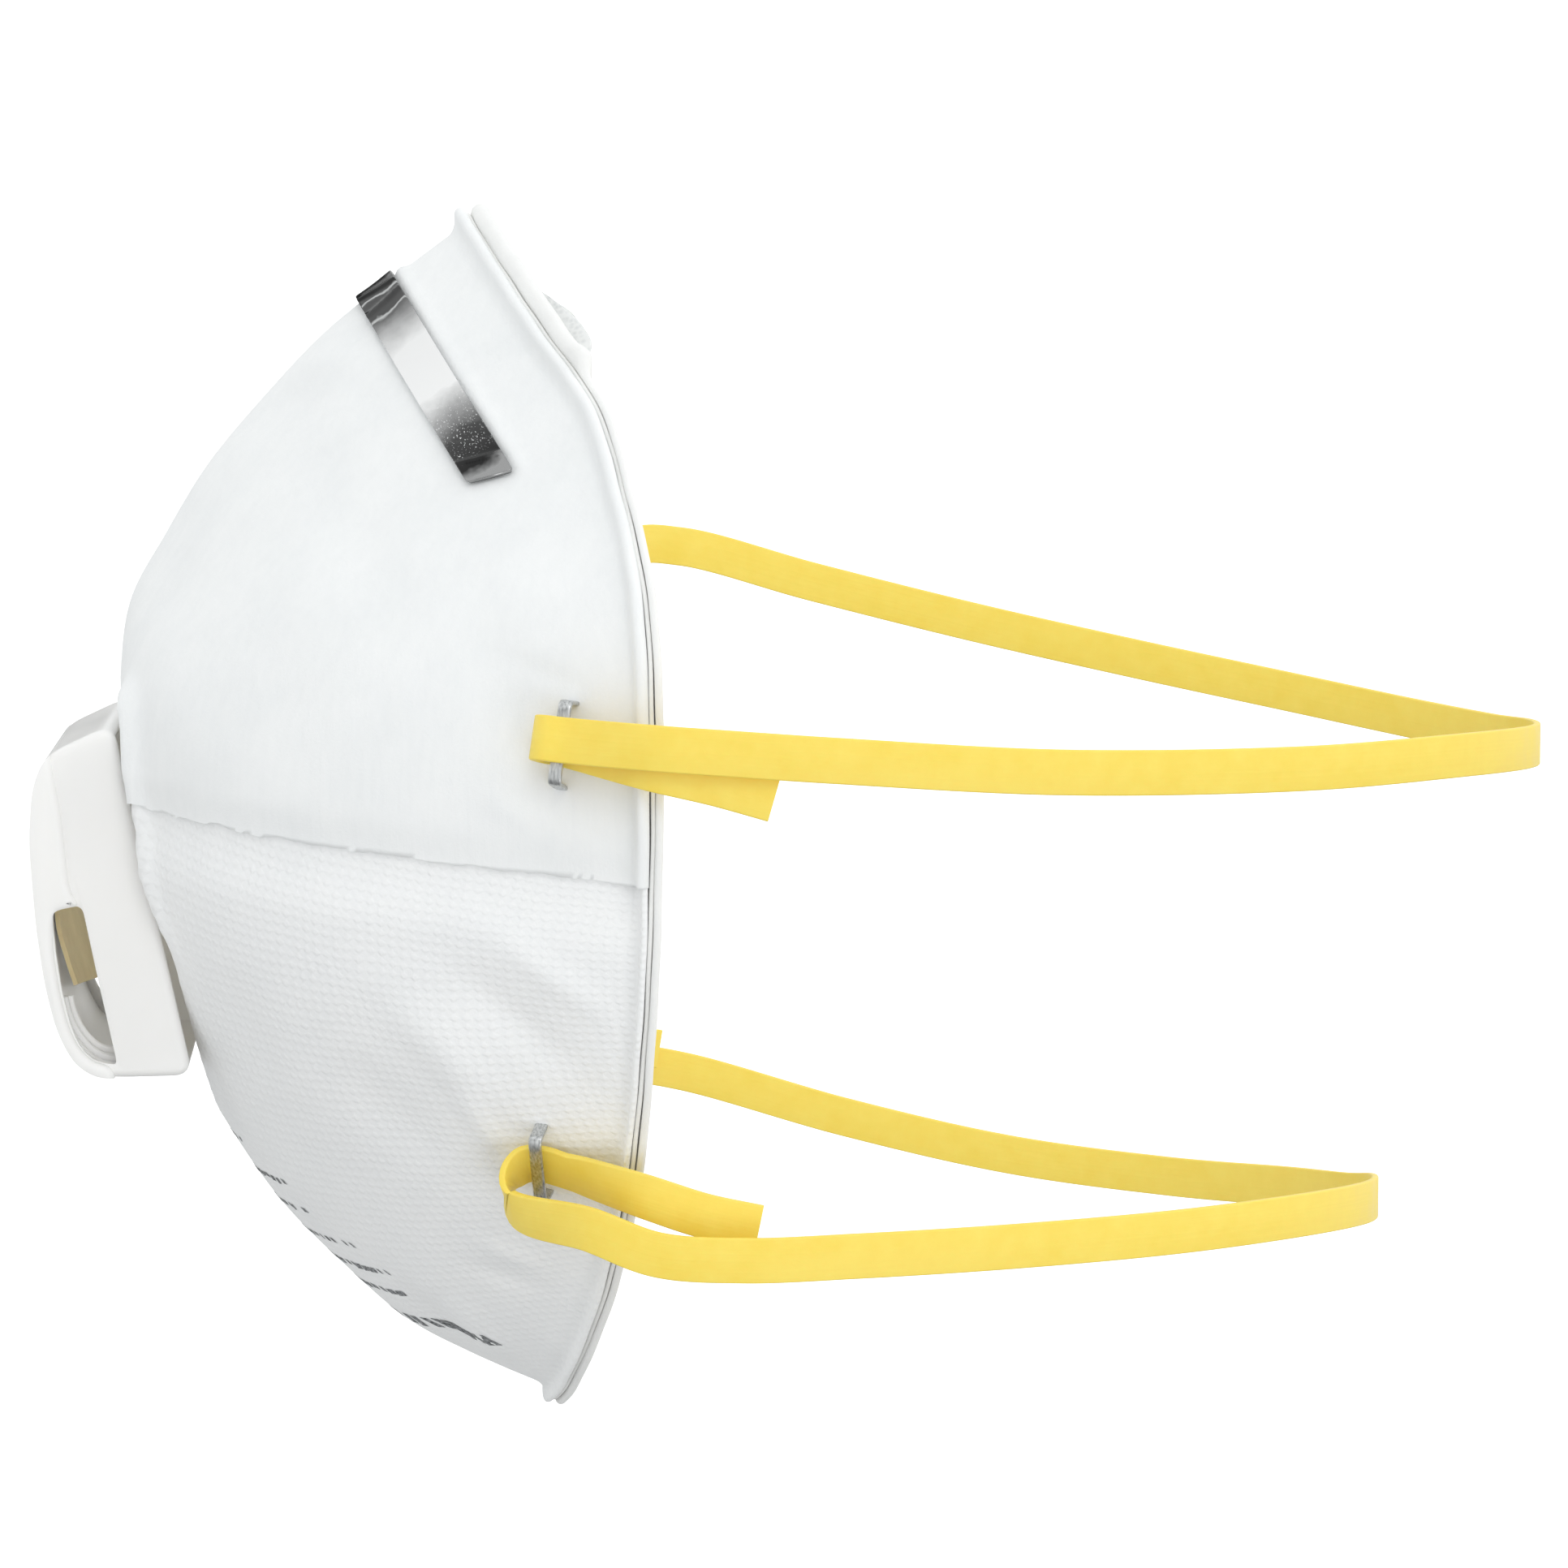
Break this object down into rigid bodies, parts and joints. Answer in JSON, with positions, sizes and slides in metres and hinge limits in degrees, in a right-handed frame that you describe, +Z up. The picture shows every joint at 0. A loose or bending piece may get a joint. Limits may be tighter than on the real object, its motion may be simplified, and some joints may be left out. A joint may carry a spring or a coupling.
{
  "type": "disposable dust mask",
  "caption": "Moulded cup dust mask with an aluminium nose clip, front exhalation valve and two stapled yellow rubber head straps.",
  "frame": {"origin": "centre of the face opening, half way between nose and chin, level with the rearmost edge of the rim", "axes": "+Z up to the nose, -Y out of the front of the mask, +X to the wearer's left"},
  "size_m": [0.1272, 0.1707, 0.1369],
  "materials": {
    "upper_web": "smooth white spun non-woven",
    "lower_web": "white non-woven embossed with small diamonds",
    "filter": "soft white melt-blown fibre",
    "shell": "stiff heat-moulded white fibre",
    "inner_web": "soft white non-woven",
    "clip_aluminium": "bright rolled, lightly creased",
    "foam": "fine-celled pale grey foam",
    "valve_base_plastic": "satin moulded white",
    "flap_rubber": "matt tan rubber sheet",
    "valve_cover_plastic": "satin moulded white",
    "strap_rubber": "satin yellow",
    "staple_steel": "plated flat wire"
  },
  "bodies": {
    "mask": {"upper_cover_web": "upper_web", "lower_cover_web": "lower_web", "filter_layer": "filter", "shaping_shell": "shell", "inner_cover_web": "inner_web", "nose_clip": "clip_aluminium", "nose_foam": "foam", "valve_base": "valve_base_plastic", "valve_cover": "valve_cover_plastic", "staple_upper_left": "staple_steel", "staple_upper_right": "staple_steel", "staple_lower_left": "staple_steel", "staple_lower_right": "staple_steel"},
    "flap": {"valve_flap": "flap_rubber"},
    "upper_loop": {"upper_strap": "strap_rubber"},
    "lower_loop": {"lower_strap": "strap_rubber"}
  },
  "joints": [
    {"name": "flap_swing", "type": "hinge", "parent": "mask", "child": "flap", "pos_m": [0, -0.06408, 0.00393], "axis": [1, 0, 0], "range_deg": [-1, 21]},
    {"name": "upper_strap_swing", "type": "hinge", "parent": "mask", "child": "upper_loop", "pos_m": [0, -0.011, 0.0129], "axis": [1, 0, 0], "range_deg": [-17, 20]},
    {"name": "lower_strap_swing", "type": "hinge", "parent": "mask", "child": "lower_loop", "pos_m": [0, -0.0132, -0.0338], "axis": [1, 0, 0], "range_deg": [-30, 20]}
  ]
}
